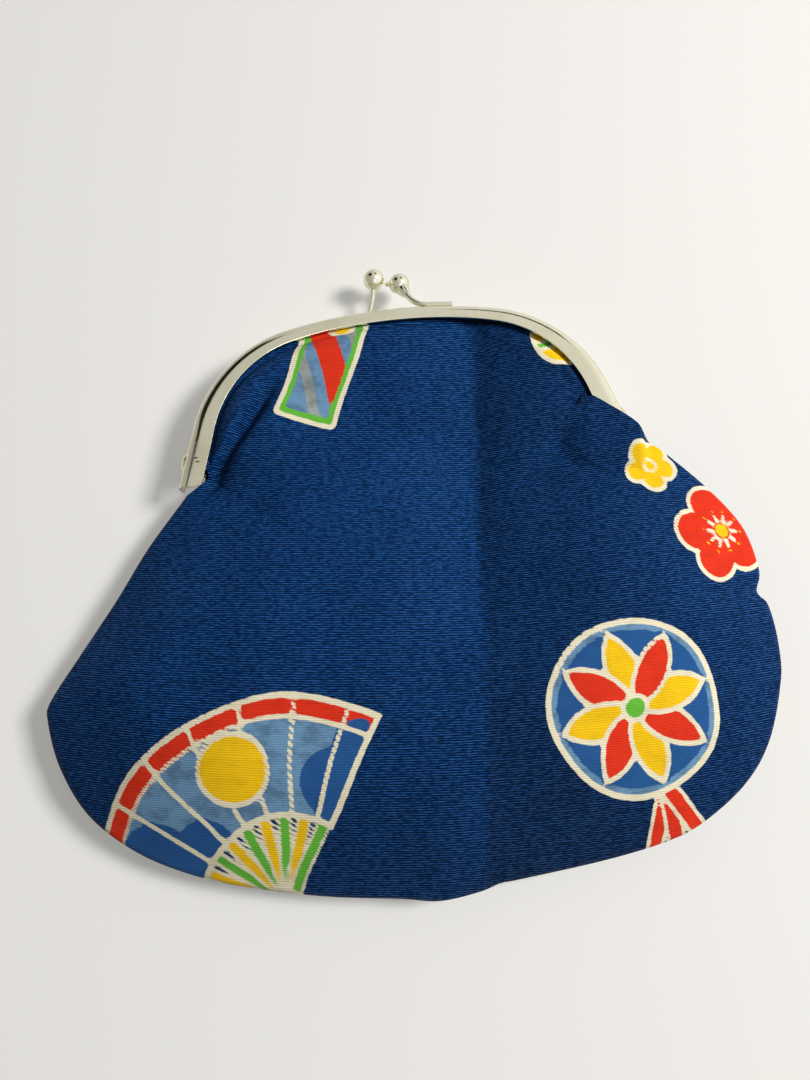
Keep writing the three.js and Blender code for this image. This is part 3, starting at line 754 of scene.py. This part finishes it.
def bar(x, y, half_width, half_height, rounding=0.8, at=(0, 0)):
    """A rounded rectangle: the distance outside its inner rectangle, less the rounding."""
    dx = np.abs(x - at[0]) - half_width + rounding
    dy = np.abs(y - at[1]) - half_height + rounding
    return np.hypot(np.maximum(dx, 0), np.maximum(dy, 0)) + np.minimum(np.maximum(dx, dy), 0) - rounding


def wedge(x, y, inner, outer, half_angle):
    """A stretch of a ring about +y, from one radius to another and to half_angle on both sides."""
    r = np.hypot(x, y)
    sideways = r * np.sin(np.clip(np.abs(np.arctan2(x, y)) - math.radians(half_angle), -1.5, 1.5))
    return np.maximum(np.maximum(r - outer, inner - r), sideways)


def stroke(x, y, a, b, half_width):
    """A line with round ends from a to b."""
    ax, ay = a
    bx, by = b[0] - ax, b[1] - ay
    t = np.clip(((x - ax) * bx + (y - ay) * by) / (bx * bx + by * by), 0, 1)
    return np.hypot(x - ax - t * bx, y - ay - t * by) - half_width


def lay(inks, ink, shape):
    """Prints a shape over what is there: the other inks lose it and its own gains it."""
    for other in inks:
        inks[other] = np.maximum(inks[other], -shape) if other != ink else np.minimum(inks[ink], shape)


def outline(inks, shape, width):
    lay(inks, "cream", np.abs(shape) - width / 2)


def edged(inks, ink, shape, width=1.0):
    """Prints a shape and its cream outline."""
    lay(inks, ink, shape)
    outline(inks, shape, width)


def polar(radius, turn):
    return radius * math.sin(turn), radius * math.cos(turn)


def folding_fan(inks, x, y, at, degrees, reach=40):
    """An open folding fan: a pleated leaf on thin ribs, with a sun and clouds on it."""
    x, y = turned(x, y, at, degrees)
    spread, inner = 56, reach * 0.44
    for k in range(-4, 5):
        tip = polar(inner, math.radians(k * spread * 0.92 / 4))
        lay(inks, "cream", stroke(x, y, (0, 0), tip, 1.45))
        lay(inks, "yellow" if k % 2 else "green", stroke(x, y, (0, 0), tip, 0.75))
    leaf = wedge(x, y, inner, reach, spread)
    lay(inks, "steel", leaf)
    band = np.maximum(leaf, reach * 0.9 - np.hypot(x, y))
    lay(inks, "red", band)
    for cx, cy, r in ((-19, 20, 8), (-9, 18, 6), (20, 16, 7), (27, 20, 5)):
        lay(inks, "mid_blue", np.maximum(leaf + 0.4, disc(x, y, r, (cx, cy))))
    sun = np.maximum(disc(x, y, reach * 0.17, (4, reach * 0.7)), leaf + 0.5)
    edged(inks, "yellow", sun, 1.05)
    outline(inks, band, 0.9)
    for k in range(-3, 4):
        a = math.radians(k * spread / 3.6)
        fold = stroke(x, y, polar(inner, a), polar(reach, a), 0.48)
        lay(inks, "cream", np.maximum(np.maximum(fold, leaf), 0.5 - sun))
    outline(inks, leaf, 1.2)
    edged(inks, "red", disc(x, y, 2.2))


def thread_ball(inks, x, y, at, radius, degrees=0):
    """A thread ball with eight pointed petals and a tassel."""
    x, y = turned(x, y, at, degrees)
    for end in ((-6, -radius - 13), (0, -radius - 15), (6, -radius - 13)):
        lay(inks, "cream", stroke(x, y, (0, -radius + 1), end, 2.0))
        lay(inks, "red", stroke(x, y, (0, -radius + 1), end, 1.2))
    whole = disc(x, y, radius)
    lay(inks, "steel", whole)
    lay(inks, "mid_blue", disc(x, y, radius * 0.9))
    bulge = radius * 0.62
    off = bulge - radius * 0.46 * 0.42
    reach_in = math.sqrt(bulge ** 2 - off ** 2)
    for k in range(8):
        px, py = turned(x, y, (0, 0), k * 45)
        petal = np.maximum(disc(px, py, bulge, (off, reach_in)), disc(px, py, bulge, (-off, reach_in)))
        edged(inks, ("yellow", "red")[k % 2], petal)
    edged(inks, "green", disc(x, y, 2.4))
    outline(inks, whole, 1.2)


def blossom(inks, x, y, at, radius, degrees=0, ink="red"):
    """A plum blossom: five round petals and a ring of stamens."""
    x, y = turned(x, y, at, degrees)
    petals = np.full(x.shape, 9.0)
    for k in range(5):
        petals = np.minimum(petals, disc(x, y, radius * 0.42, polar(radius * 0.56, math.radians(72 * k))))
    edged(inks, ink, petals)
    for k in range(10):
        tip = polar(radius * 0.42, math.radians(36 * k))
        lay(inks, "cream", stroke(x, y, (0, 0), tip, 0.42))
        lay(inks, "yellow", disc(x, y, 0.75, tip))
    lay(inks, "yellow", disc(x, y, radius * 0.17))


def paper_strip(inks, x, y, at, degrees, half_width=6.5, half_height=17):
    """A hanging paper strip with slanted bands and a round moon on it."""
    x, y = turned(x, y, at, degrees)
    strip = bar(x, y, half_width, half_height)
    lay(inks, "cream", stroke(x, y, (0, half_height), (3, half_height + 12), 0.5))
    lay(inks, "green", strip)
    field = bar(x, y, half_width - 1.6, half_height - 1.8)
    lay(inks, "steel", field)
    slant = np.abs((x + y * 0.6) * 0.86)
    lay(inks, "red", np.maximum(slant - 2.6, field))
    lay(inks, "grey", np.maximum(np.abs(slant - 6.2) - 1.1, field))
    moon = disc(x, y, 3.4, (0.5, half_height * 0.5))
    edged(inks, "yellow", np.maximum(moon, field))
    outline(inks, strip, 1.1)


def round_bell(inks, x, y, at, radius, degrees=0):
    """A little round bell: a belt across its middle and a slot that ends in a hole."""
    x, y = turned(x, y, at, degrees)
    lay(inks, "cream", np.abs(disc(x, y, radius * 0.3, (0, radius * 1.2))) - 0.5)
    whole = disc(x, y, radius)
    lay(inks, "yellow", whole)
    belt = np.maximum(np.abs(y) - radius * 0.16, whole)
    edged(inks, "green", belt)
    lay(inks, "mid_blue", np.maximum(stroke(x, y, (0, -radius * 0.45), (0, -radius), 0.5), whole))
    lay(inks, "mid_blue", disc(x, y, radius * 0.14, (0, -radius * 0.42)))
    outline(inks, whole, 1.0)


def hand_drawn(x, y):
    """The cloth's place shifted by slow waves, so that no printed line is quite straight."""
    sway = 0.3 * np.sin(y / 3.7 + 0.6 * np.sin(x / 5.1))
    return x + sway, y + 0.3 * np.sin(x / 4.3 + 0.8 * np.sin(y / 6.3))


FRONT_PRINT = [
    (folding_fan, (-33, -93), 24), (thread_ball, (38, -63), 17, 14), (blossom, (64, -29), 11, 12),
    (blossom, (52, -13), 6, 40, "yellow"), (paper_strip, (-15, 21), -22), (round_bell, (37, 19), 6.5, 18),
]
BACK_PRINT = [
    (folding_fan, (36, -86), -30), (thread_ball, (-44, -52), 17, -20), (blossom, (-8, -12), 11, 30),
    (blossom, (8, 2), 6, 0, "yellow"), (paper_strip, (48, -28), 34), (round_bell, (-24, 18), 6.5),
]


def printed(x, y, motifs):
    """The distance to each ink's edge over the cloth."""
    x, y = hand_drawn(x, y)
    inks = {ink: np.full(x.shape, 9.0) for ink in INKS}
    for draw, at, *rest in motifs:
        draw(inks, x, y, at, *rest)
    return inks


# Cloths

SEAM = spline(BAG_EDGE, 900)
frame_line, frame_inward = frame_outline(np.linspace(HALF_LENGTH, -HALF_LENGTH, 500))
frame_faces = face_width(np.linspace(HALF_LENGTH, -HALF_LENGTH, 500))


def mouth_line(tuck, leg_x, low, high, right=None):
    """The cloth's edge in the frame: up inside the right leg or the points given, round and down again."""
    inside = frame_line + frame_inward * tuck
    inside = inside[inside[:, 1] > high + 6]
    right = right or [(leg_x, low), (leg_x, high)]
    left = [(-leg_x, high), (-leg_x, low)]
    return np.concatenate([right, inside, left])


def nearest(points, line):
    """The distance from each point to a line of close points, and which of these is nearest.

    It is measured to the line's tangent there, no further along it than the next point."""
    index = np.zeros(len(points), int)
    for start in range(0, len(points), 4000):
        part = points[start:start + 4000]
        gap = np.hypot(part[:, None, 0] - line[None, :, 0], part[:, None, 1] - line[None, :, 1])
        index[start:start + 4000] = gap.argmin(1)
    tangent = np.gradient(line, axis=0)
    step = np.linalg.norm(tangent, axis=1)
    tangent, step = (tangent / step[:, None])[index], step[index]
    away = points - line[index]
    along = np.clip((away * tangent).sum(1), -step, step)
    return np.linalg.norm(away - along[:, None] * tangent, axis=1), index


def cloth_grid(steps, edge, crowd=1.3):
    """A square grid bent into a disc and stretched to an edge, with its rows drawn together near the edge.

    Returns x, y and the share of the way out to the edge."""
    a, b = np.meshgrid(np.linspace(-1, 1, steps), np.linspace(-1, 1, steps), indexing="ij")
    dx, dy = a * np.sqrt(1 - b * b / 2), b * np.sqrt(1 - a * a / 2)
    share = 1 - (1 - np.clip(np.hypot(dx, dy), 0, 1)) ** crowd
    angle = np.arctan2(dy, dx)
    gap = edge - BAG_CENTRE
    edge_angle = np.arctan2(gap[:, 1], gap[:, 0])
    radius = np.interp(angle, edge_angle, np.hypot(gap[:, 0], gap[:, 1]), period=2 * math.pi)
    x = BAG_CENTRE[0] + radius * share * np.cos(angle)
    y = BAG_CENTRE[1] + radius * share * np.sin(angle)
    return x.ravel(), y.ravel(), share.ravel()


def lesser(a, b, softness=1.2):
    """The lesser of two heights, rounded off where they meet."""
    return -softness * np.logaddexp(-a / softness, -b / softness)


def line_place(x, y, a, b):
    """How far along a line from a to b each point is, from 0 to 1, and how far to its right."""
    bx, by = b[0] - a[0], b[1] - a[1]
    length = math.hypot(bx, by)
    along = ((x - a[0]) * bx + (y - a[1]) * by) / length ** 2
    across = (by * (x - a[0]) - bx * (y - a[1])) / length
    return along, across


def creases(x, y):
    """Folds as heights: a valley from the frame's top, a dip, a crease from each leg, and slow waves."""
    along, across = line_place(x, y, (18.8, 32), (13.2, -17))
    fade = plateau(-0.1, 0.12, 0.6, 1.9, along)
    to_right = -across
    reach = np.where(to_right > 0, 13.0, 19.0)
    valley = -8.5 * np.exp(-(np.sqrt(across ** 2 + 0.3) - 0.55) / reach) * fade
    dip = -2.0 * np.exp(-((x - 12) / 24) ** 2 - ((y + 42) / 30) ** 2)
    along, across = line_place(x, y, (-28.5, 13), (-43.5, -6.5))
    fade = plateau(-0.2, 0.3, 0.9, 1.2, along)
    left_crease = (-3.8 * np.exp(-(across / 1.5) ** 2) + 0.7 * np.exp(-((across + 6) / 4.5) ** 2)) * fade
    along, across = line_place(x, y, (33, 12), (45, -2))
    fade = plateau(-0.2, 0.4, 0.9, 1.4, along)
    right_crease = -1.0 * np.exp(-(across / 2.6) ** 2) * fade
    waves = 0.45 * np.sin(x / 9.5 + 0.9 * np.sin(y / 17)) * np.sin(y / 13 + 0.8)
    waves += 0.2 * np.sin(x / 4.7 + y / 11) * np.sin(y / 6.1 - x / 15)
    valley *= 0.62 + 0.38 * smooth(0, 30, -y)
    return valley + dip + left_crease + right_crease + waves


def seam_puckers(arc, gap):
    """Small gathers along the seam that die out within a few millimetres."""
    wave = np.sin(arc / 1.35 + 1.5 * np.sin(arc / 7.3)) + 0.6 * np.sin(arc / 2.9 + 2 * np.sin(arc / 13))
    return 0.13 * wave * np.exp(-gap / 4.5)


def seam_lip(gap):
    """The cloth's rounded edge at the seam, a quarter circle of the radius SEAM_LIP."""
    return SEAM_LIP * np.sqrt(1 - (1 - np.clip(gap / SEAM_LIP, 0, 1)) ** 2)


def past_face(frame_gap, frame_at):
    """How far inward of the frame's face, less a little clearance, each point lies."""
    return np.maximum(frame_gap - frame_faces[frame_at] - 0.35, 0)


def front_surface(x, y, share, inset=0.0):
    """The heights of the front cloth, inset deeper for its lining.

    It is a dome that rises from a lip at the seam and, in the mouth, from inside the frame's channel."""
    flat = np.stack([x, y], -1)
    seam_gap, seam_at = nearest(flat, SEAM)
    frame_gap, frame_at = nearest(flat, frame_line)
    belly = smooth(5, 40, -y)
    crest = MOUTH_CREST + (BELLY_CREST - MOUTH_CREST) * belly
    dome = crest * 1.22 * (1 - share ** 2.3)
    dome = crest * dome / (dome ** 6 + crest ** 6) ** (1 / 6)
    in_mouth = smooth(-7, 1, y)
    height = (seam_lip(seam_gap) + dome) * (1 - in_mouth) + crest * in_mouth
    height += creases(x, y) * smooth(1, 14, seam_gap)
    height = np.maximum(height, LEAST_FILLING * smooth(0, 12, seam_gap))
    height += seam_puckers(seam_at * SEAM_STEP, seam_gap) * (y < -8) * (seam_gap > 0.3)
    inside_face = past_face(frame_gap, frame_at)
    at_top = smooth(12, 24, y)
    groove = 0.6 * np.exp(-((inside_face - 0.4) / 0.4) ** 2) * at_top
    step = 0.9 * smooth(0, 0.8, inside_face) * (1 - at_top)
    rising = CHANNEL_HEIGHT - groove + step + 0.9 * np.maximum(inside_face - 0.4, 0)
    return height + (lesser(height, rising, 0.7) - height) * in_mouth - inset


def over_right_leg(x, y):
    """The height to which the cloth is lifted over the right leg's face."""
    return OVER_LEG_HEIGHT * plateau(-22, -8, 3.7, 4.9, y) * plateau(24, 40.5, 50, 54.2, x)


def cloth_place(x, y):
    """Where a point is on the cloth: u along the ribs and v across them, as they slant and bow a little."""
    v = y + 0.08 * x - 0.00087 * x * x
    return np.stack([x, v, np.zeros_like(x)], -1)


def painted_fold_shade(x, y):
    """A factor that paints shade on the cloth's colour: darker to the right of the fold, less so further
    right, and towards the bottom seam.
    """
    beyond_fold = x - 15.1 - 0.114 * y
    right = smooth(-1.0, 2.2, beyond_fold) * (1 - 0.55 * smooth(12, 52, beyond_fold))
    low = smooth(30, 80, -y)
    return 1.04 - 0.3 * right - 0.18 * low


# Each layer's material, thickness and slot.
OUTER = (PRINTED_CLOTH, CLOTH, "ribbed_cloth")
INNER = (LINING_WEAVE, LINING, "lining_cloth")


def sheet_piece(name, x, y, z, layer, facing, body, nodes, extras):
    """A cloth as a grid that faces up or down, with its material and thickness from its layer."""
    material, thickness, slot = layer
    steps = math.isqrt(len(x))
    faces = grid_faces(steps, steps)[:, ::-facing]
    extras = {"cloth": cloth_place(x, y), **extras}
    item = piece(name, np.stack([x, y, z], -1), faces, material, body, nodes, extras)
    solid = item.modifiers.new("thickness", "SOLIDIFY")
    solid.thickness = thickness * MM
    solid.offset = -1
    return item


def ink_extras(inks):
    """The inks as point attributes. Each runs on under those laid after it, so that no gap opens."""
    order = list(inks)
    extras = {}
    for k, ink in enumerate(order):
        under = inks[ink]
        for later in order[k + 1:]:
            under = np.minimum(under, np.maximum(inks[ink], inks[later]) - INK_OVERLAP)
        extras["ink_" + ink] = under
    return extras


def make_front_cloth():
    seam = SEAM[:-(len(SEAM) // (len(BAG_EDGE) - 1))]
    edge = np.concatenate([seam, mouth_line(CLOTH_TUCK, 43.5, -4.5, 3, OVER_RIGHT_LEG)])
    x, y, share = cloth_grid(CLOTH_STEPS, edge)
    z = np.maximum(front_surface(x, y, share), over_right_leg(x, y))
    # The front cloth carries painted shade right of its fold and towards its bottom seam.
    extras = {"painted_shade": painted_fold_shade(x, y), **ink_extras(printed(x, y, FRONT_PRINT))}
    return sheet_piece("front_cloth", x, y, z, OUTER, 1, None, ["front_panel", "front_panel_mouth"], extras)


def make_front_lining():
    edge = np.concatenate([SEAM, mouth_line(CLOTH_TUCK, 43.2, -4.5, 3)])
    x, y, share = cloth_grid(LINING_STEPS, BAG_CENTRE + (edge - BAG_CENTRE) * 0.985)
    z = np.maximum(front_surface(x, y, share, LINING_INSET), 0.1)
    nodes = ["front_lining", "front_lining_mouth"]
    return sheet_piece("front_lining_sheet", x, y, z, INNER, 1, None, nodes, {})


def back_surface(x, y, share):
    """The back lies flat on the floor and rounds up to the seam."""
    flat = np.stack([x, y], -1)
    seam_gap, seam_at = nearest(flat, SEAM)
    frame_gap, frame_at = nearest(flat, frame_line)
    depth = 1.7 * (1 - share ** 3)
    depth = HINGE_HEIGHT * depth / (depth ** 5 + 1) ** 0.2
    z = -np.minimum(np.where(y > -2, depth + 1.2, depth + seam_lip(seam_gap)), HINGE_HEIGHT)
    z += seam_puckers(seam_at * SEAM_STEP, seam_gap) * (y < -8) * (seam_gap > 0.3) * 0.8
    rising = -(CHANNEL_HEIGHT + 0.95 * past_face(frame_gap, frame_at))
    under_face = -lesser(-z, -rising, 0.5)
    z = z + (under_face - z) * smooth(-6, 2, y)
    return np.maximum(z, -HINGE_HEIGHT)


def back_edge(leg_x, shrink):
    """The edge of the back cloth or its lining, left out beside the legs."""
    edge = np.concatenate([SEAM, mouth_line(CLOTH_TUCK, leg_x, -7.6, 3)])
    edge = edge[~((np.abs(edge[:, 0]) > 43) & (edge[:, 1] > -8.2) & (edge[:, 1] < 7.4))]
    return BAG_CENTRE + (edge - BAG_CENTRE) * shrink


def make_back_cloth():
    x, y, share = cloth_grid(CLOTH_STEPS, back_edge(42.2, 1))
    # The back cloth gets no painted shade: its factor is 1 everywhere.
    extras = {"painted_shade": np.ones_like(x), **ink_extras(printed(x, y, BACK_PRINT))}
    z = back_surface(x, y, share)
    return sheet_piece("back_cloth", x, y, z, OUTER, -1, "back", ["back_panel"], extras)


def make_back_lining():
    x, y, share = cloth_grid(LINING_STEPS, back_edge(42.0, 0.98))
    z = np.minimum(back_surface(x, y, share) + LINING_INSET, -0.1)
    return sheet_piece("back_lining_sheet", x, y, z, INNER, -1, "back", ["back_lining"], {})


def make_cloths():
    front, lining = make_front_cloth(), make_front_lining()
    back, back_lining = make_back_cloth(), make_back_lining()
    for item in (front, lining):
        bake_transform(item)


# Stage

FOCAL_PIXELS = 811
IMAGE_HEIGHT = 1080
SENSOR_MM = 36
LOOK_AT = Vector(HINGE) + Vector((-2.57, -21.15, -HINGE_HEIGHT)) * MM
CAMERA_DISTANCE = 0.1823
CAMERA_TILT = math.radians(12)
PURSE_TURN = math.radians(6.55)
FLOOR_GLOW = 0.34
FLOOR_DROP = -0.00005
FLOOR_SIZE = 6.0

# Each board's place, width and height.
DARK_BOARDS = [((-0.265, 0.378, 0.386), 0.3, 0.32), ((0.2, 0.42, 0.38), 0.2, 0.14)]


def make_camera():
    """Looks down, tilted a little towards the bag's bottom, with the purse turned in the picture."""
    up_the_picture = Vector((math.sin(PURSE_TURN), math.cos(PURSE_TURN), 0))
    back = Vector((0, 0, math.cos(CAMERA_TILT))) - up_the_picture * math.sin(CAMERA_TILT)
    data = bpy.data.cameras.new("camera")
    data.lens = FOCAL_PIXELS / IMAGE_HEIGHT * SENSOR_MM
    data.sensor_width = SENSOR_MM
    data.clip_start = 0.005
    item = placed("camera", data)
    right = up_the_picture.cross(back).normalized()
    up = back.cross(right)
    turn = Matrix((right, up, back)).transposed().to_4x4()
    item.matrix_world = Matrix.Translation(LOOK_AT + back * CAMERA_DISTANCE) @ turn
    bpy.context.scene.camera = item


def seen_ray(add):
    """1 for a ray from the camera or a glossy surface, and 0 for the others."""
    rays = add("ShaderNodeLightPath").outputs
    return math_node(add, "MAXIMUM", rays["Is Camera Ray"], rays["Is Glossy Ray"])


def flat_sheet(name, width, height, material):
    """A flat rectangle of the stage about its own origin."""
    x, y = width / 2, height / 2
    mesh = bpy.data.meshes.new(name)
    mesh.from_pydata([(-x, -y, 0), (x, -y, 0), (x, y, 0), (-x, y, 0)], [], [(0, 1, 2, 3)])
    mesh.materials.append(material)
    return placed(name, mesh)


def make_floor():
    """A pale matt floor. To the camera it glows a little, so that its shadows stay light."""
    material, add, shader = new_material("pale_floor")
    fill(shader, {"Base Color": (0.78, 0.77, 0.75, 1), "Roughness": 0.9, "Specular IOR Level": 0.1})
    glow = add("ShaderNodeEmission", {"Color": (0.79, 0.78, 0.745, 1), "Strength": 1.0}).outputs[0]
    share = math_node(add, "MULTIPLY", seen_ray(add), FLOOR_GLOW)
    mix = add("ShaderNodeMixShader", {0: share, 1: shader.outputs[0], 2: glow})
    fill(material.node_tree.nodes["Material Output"], {"Surface": mix.outputs[0]})
    floor = flat_sheet("floor", FLOOR_SIZE, FLOOR_SIZE, material)
    floor.location.z = FLOOR_DROP


def make_world():
    """A pale room. As a light it is brighter from the clasp's side, and in reflections from the right."""
    world = bpy.data.worlds.new("room")
    world.use_nodes = True
    bpy.context.scene.world = world
    add = tidy_tree(world.node_tree)
    way = add("ShaderNodeTexCoord").outputs["Generated"]

    def slope(direction, factor, level, least):
        towards = add("ShaderNodeVectorMath", {0: way, 1: direction}, operation="DOT_PRODUCT")
        level = math_node(add, "MULTIPLY_ADD", towards.outputs["Value"], factor, level)
        return math_node(add, "MAXIMUM", level, least)

    as_light, as_view = slope((-0.15, 0.98, 0), 0.3, 0.2, 0.05), slope((1, 0, 0), 0.5, 0.7, 0.46)
    strength = add("ShaderNodeMix", {0: seen_ray(add), 2: as_light, 3: as_view}, data_type="FLOAT").outputs[0]
    fill(world.node_tree.nodes["Background"], {"Color": (1.0, 0.985, 0.96, 1), "Strength": strength})


def set_facing(item, at):
    """Puts an item at a place, with its +Z away from the part's origin."""
    item.location = at
    item.rotation_mode = "QUATERNION"
    item.rotation_quaternion = Vector(at).normalized().to_track_quat("Z", "Y")


def area_light(name, towards, distance, size, energy):
    """A square lamp that faces the purse from a direction."""
    data = bpy.data.lights.new(name, "AREA")
    data.size = size
    data.energy = energy
    data.color = (1.0, 0.985, 0.955)
    item = placed(name, data)
    set_facing(item, Vector(towards).normalized() * distance)
    return item


def make_lights():
    """A window to the right that casts the shadows, and a soft window and a lamp that only shine in gloss."""
    window = area_light("window", (0.70, 0.06, 0.71), 0.95, 0.25, 11.3)
    window.visible_glossy = False
    sheen = area_light("soft_window", (0.6, 0.05, 0.8), 0.9, 0.34, 2.0)
    sheen.visible_diffuse = False
    lamp = area_light("lamp", (0.25, -0.56, 0.78), 0.6, 0.18, 0.5)
    lamp.visible_diffuse = False


def make_reflected_room():
    """Two dark boards beside the view that only the polished metal shows."""
    material, _, shader = new_material("dark_board")
    fill(shader, {"Base Color": (0.01, 0.01, 0.01, 1), "Roughness": 1.0, "Specular IOR Level": 0.0})
    for k, (at, width, height) in enumerate(DARK_BOARDS):
        board = flat_sheet(f"board_{k}", width, height, material)
        set_facing(board, at)
        board.visible_camera = False
        board.visible_diffuse = False
        board.visible_shadow = False


make_camera()
make_metal()
make_cloths()
make_floor()
make_world()
make_lights()
make_reflected_room()
bpy.context.scene.view_settings.view_transform = "Standard"
